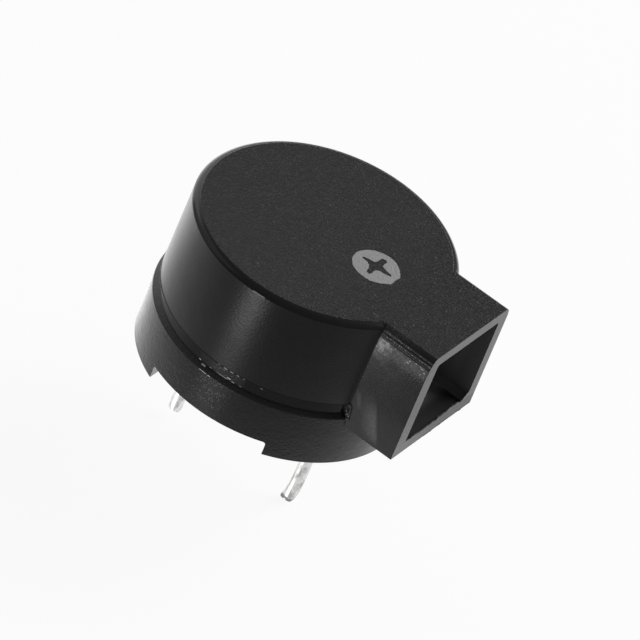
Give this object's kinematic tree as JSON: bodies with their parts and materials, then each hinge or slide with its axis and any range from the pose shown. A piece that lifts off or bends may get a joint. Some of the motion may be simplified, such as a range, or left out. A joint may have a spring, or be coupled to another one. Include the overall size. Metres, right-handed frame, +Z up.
{
  "type": "magnetic buzzer",
  "caption": "Round black board-mounted buzzer with a rectangular sound duct on one side, wire pins below and a plus mark printed on top",
  "frame": {"origin": "midway between the two pins on the case's axis, in the plane that the feet stand on", "axes": "+Z points up through the top face along the case's axis, +X points out of the sound duct through the positive pin, and +Y completes a right-handed frame"},
  "size_m": [0.0136, 0.012, 0.0129],
  "materials": {
    "cap_plastic": "black moulded plastic, fine spark-eroded grain on top, smoother walls",
    "base_plastic": "black moulded plastic, glossy",
    "mark_ink": "pad-printed grey ink, matt",
    "tinned_wire": "hot-tinned, drawn lengthwise",
    "diaphragm_steel": "rolled thin, satin",
    "soft_iron": "zinc-plated iron, dull",
    "natural_plastic": "uncoloured moulded plastic",
    "ferrite": "sintered, dark grey",
    "enamelled_copper": "fine enamelled copper wire",
    "board_laminate": "paper and resin laminate",
    "component_black": "moulded component bodies",
    "solder": "bright soft solder",
    "resin": "cast resin, glossy and slightly wavy"
  },
  "bodies": {
    "root": {"cap": "cap_plastic", "base": "base_plastic", "polarity_mark": "mark_ink", "positive_pin": "tinned_wire", "negative_pin": "tinned_wire", "diaphragm": "diaphragm_steel", "armature": "soft_iron", "support_ring": "natural_plastic", "magnet": "ferrite", "yoke_plate": "soft_iron", "pole_core": "soft_iron", "bobbin": "natural_plastic", "drive_winding": "enamelled_copper", "sense_winding": "enamelled_copper", "coil_leads": "enamelled_copper", "circuit_board": "board_laminate", "transistor": "component_black", "diode": "component_black", "resistor": "component_black", "positive_solder": "solder", "negative_solder": "solder", "lead_solder": "solder", "resin_seal": "resin"}
  },
  "joints": []
}
